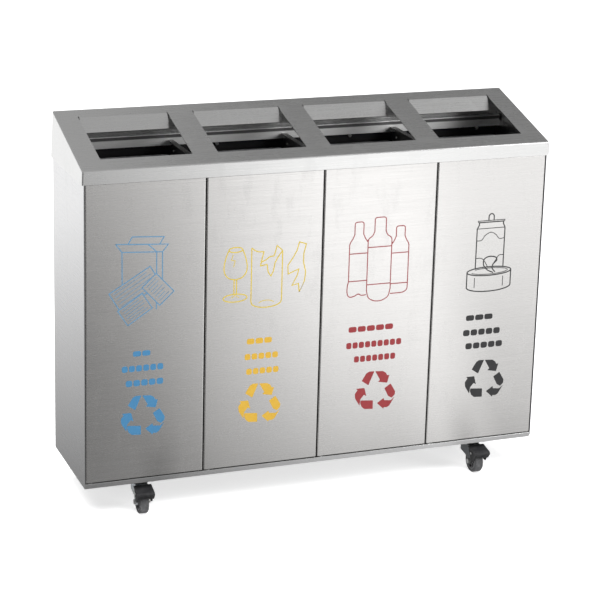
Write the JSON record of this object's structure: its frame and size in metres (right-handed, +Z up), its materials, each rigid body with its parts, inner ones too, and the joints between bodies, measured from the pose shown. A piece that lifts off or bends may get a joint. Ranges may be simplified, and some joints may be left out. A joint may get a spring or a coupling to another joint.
{
  "type": "recycling bin station",
  "caption": "Stainless steel recycling station with front doors, a sloped hood with drop-in mouths over separate liners, and swivel castors with foot brakes.",
  "frame": {"origin": "on the floor, at the centre of the bounding box's base, castors and pedals included", "axes": "+X to the right of a person facing the doors, doors face -Y, +Z up"},
  "size_m": [1.008, 0.268, 0.7991],
  "materials": {
    "stainless_hood": "brushed stainless sheet, satin",
    "stainless_body": "brushed stainless sheet, satin",
    "stainless_door": "fine-grain brushed stainless sheet",
    "galvanised": "galvanised sheet, dull grey",
    "zinc_plate": "bright zinc plated pressed steel",
    "steel_fixings": "stainless fasteners",
    "aluminium_bar": "mill finish flat bar",
    "black_plastic": "moulded, fine texture",
    "nylon": "natural nylon",
    "grey_rubber": "grey thermoplastic rubber tyre",
    "label_blue": "cut vinyl film",
    "label_yellow": "cut vinyl film",
    "label_red": "cut vinyl film",
    "label_black": "cut vinyl film"
  },
  "bodies": {
    "cabinet": {"hood_shell": "stainless_hood", "left_side_panel": "stainless_body", "right_side_panel": "stainless_body", "back_panel": "stainless_body", "base_tray": "stainless_body", "front_header": "stainless_body", "left_door_jamb": "stainless_body", "right_door_jamb": "stainless_body", "divider_1": "stainless_body", "divider_2": "stainless_body", "divider_3": "stainless_body", "divider_angles": "stainless_body", "divider_rivets": "steel_fixings", "hood_screws": "steel_fixings", "hinge_pins": "steel_fixings", "hinge_washers": "steel_fixings", "hood_spacers": "nylon", "touch_latch_bodies": "black_plastic", "liner_1": "galvanised", "liner_2": "galvanised", "liner_3": "galvanised", "liner_4": "galvanised", "castor_plates": "zinc_plate", "castor_screws": "steel_fixings", "castor_pads": "aluminium_bar"},
    "door_1": {"door_skin_1": "stainless_door", "door_inner_panel_1": "galvanised", "door_bushes_1": "black_plastic"},
    "door_2": {"door_skin_2": "stainless_door", "door_inner_panel_2": "galvanised", "door_bushes_2": "black_plastic"},
    "door_3": {"door_skin_3": "stainless_door", "door_inner_panel_3": "galvanised", "door_bushes_3": "black_plastic"},
    "door_4": {"door_skin_4": "stainless_door", "door_inner_panel_4": "galvanised", "door_bushes_4": "black_plastic"},
    "latch_1": {"latch_plunger_1": "nylon"},
    "latch_2": {"latch_plunger_2": "nylon"},
    "latch_3": {"latch_plunger_3": "nylon"},
    "latch_4": {"latch_plunger_4": "nylon"},
    "castor_1": {"castor_fork_1": "zinc_plate", "castor_pins_1": "steel_fixings"},
    "wheel_1": {"wheel_hub_1": "black_plastic", "wheel_tyre_1": "grey_rubber"},
    "castor_2": {"castor_fork_2": "zinc_plate", "castor_pins_2": "steel_fixings"},
    "wheel_2": {"wheel_hub_2": "black_plastic", "wheel_tyre_2": "grey_rubber"},
    "castor_3": {"castor_fork_3": "zinc_plate", "castor_pins_3": "steel_fixings"},
    "wheel_3": {"wheel_hub_3": "black_plastic", "wheel_tyre_3": "grey_rubber"},
    "castor_4": {"castor_fork_4": "zinc_plate", "castor_pins_4": "steel_fixings"},
    "wheel_4": {"wheel_hub_4": "black_plastic", "wheel_tyre_4": "grey_rubber"},
    "pedal_left": {"brake_pedal_left": "black_plastic"},
    "pedal_right": {"brake_pedal_right": "black_plastic"}
  },
  "joints": [
    {"name": "door_1_hinge", "type": "hinge", "parent": "cabinet", "child": "door_1", "pos_m": [-0.48725, -0.10787, 0.084], "axis": [0, 0, -1], "range_deg": [0, 105]},
    {"name": "door_2_hinge", "type": "hinge", "parent": "cabinet", "child": "door_2", "pos_m": [-0.2389, -0.10787, 0.084], "axis": [0, 0, -1], "range_deg": [0, 105]},
    {"name": "door_3_hinge", "type": "hinge", "parent": "cabinet", "child": "door_3", "pos_m": [0.0111, -0.10787, 0.084], "axis": [0, 0, -1], "range_deg": [0, 105]},
    {"name": "door_4_hinge", "type": "hinge", "parent": "cabinet", "child": "door_4", "pos_m": [0.2611, -0.10787, 0.084], "axis": [0, 0, -1], "range_deg": [0, 105]},
    {"name": "latch_1_push", "type": "slide", "parent": "cabinet", "child": "latch_1", "axis": [0, 1, 0], "range_m": [0, 0.003], "stiffness_N_per_m": 400, "springref_m": -0.004},
    {"name": "latch_2_push", "type": "slide", "parent": "cabinet", "child": "latch_2", "axis": [0, 1, 0], "range_m": [0, 0.003], "stiffness_N_per_m": 400, "springref_m": -0.004},
    {"name": "latch_3_push", "type": "slide", "parent": "cabinet", "child": "latch_3", "axis": [0, 1, 0], "range_m": [0, 0.003], "stiffness_N_per_m": 400, "springref_m": -0.004},
    {"name": "latch_4_push", "type": "slide", "parent": "cabinet", "child": "latch_4", "axis": [0, 1, 0], "range_m": [0, 0.003], "stiffness_N_per_m": 400, "springref_m": -0.004},
    {"name": "castor_1_swivel", "type": "hinge", "parent": "cabinet", "child": "castor_1", "pos_m": [-0.375, -0.07437, 0.06], "axis": [0, 0, 1], "continuous": true},
    {"name": "wheel_1_spin", "type": "hinge", "parent": "castor_1", "child": "wheel_1", "pos_m": [-0.37584, -0.09835, 0.025], "axis": [0.9994, -0.0349, 0], "continuous": true},
    {"name": "brake_pedal_left_press", "type": "hinge", "parent": "castor_1", "child": "pedal_left", "pos_m": [-0.3764, -0.11435, 0.049], "axis": [0.9994, -0.0349, 0], "range_deg": [0, 12]},
    {"name": "castor_2_swivel", "type": "hinge", "parent": "cabinet", "child": "castor_2", "pos_m": [0.375, -0.07437, 0.06], "axis": [0, 0, 1], "continuous": true},
    {"name": "wheel_2_spin", "type": "hinge", "parent": "castor_2", "child": "wheel_2", "pos_m": [0.37584, -0.09835, 0.025], "axis": [0.9994, 0.0349, 0], "continuous": true},
    {"name": "brake_pedal_right_press", "type": "hinge", "parent": "castor_2", "child": "pedal_right", "pos_m": [0.3764, -0.11435, 0.049], "axis": [0.9994, 0.0349, 0], "range_deg": [0, 12]},
    {"name": "castor_3_swivel", "type": "hinge", "parent": "cabinet", "child": "castor_3", "pos_m": [-0.375, 0.08763, 0.06], "axis": [0, 0, 1], "continuous": true},
    {"name": "wheel_3_spin", "type": "hinge", "parent": "castor_3", "child": "wheel_3", "pos_m": [-0.37999, 0.06415, 0.025], "axis": [0.9781, -0.2079, 0], "continuous": true},
    {"name": "castor_4_swivel", "type": "hinge", "parent": "cabinet", "child": "castor_4", "pos_m": [0.375, 0.08763, 0.06], "axis": [0, 0, 1], "continuous": true},
    {"name": "wheel_4_spin", "type": "hinge", "parent": "castor_4", "child": "wheel_4", "pos_m": [0.38081, 0.06434, 0.025], "axis": [0.9703, 0.2419, 0], "continuous": true}
  ]
}
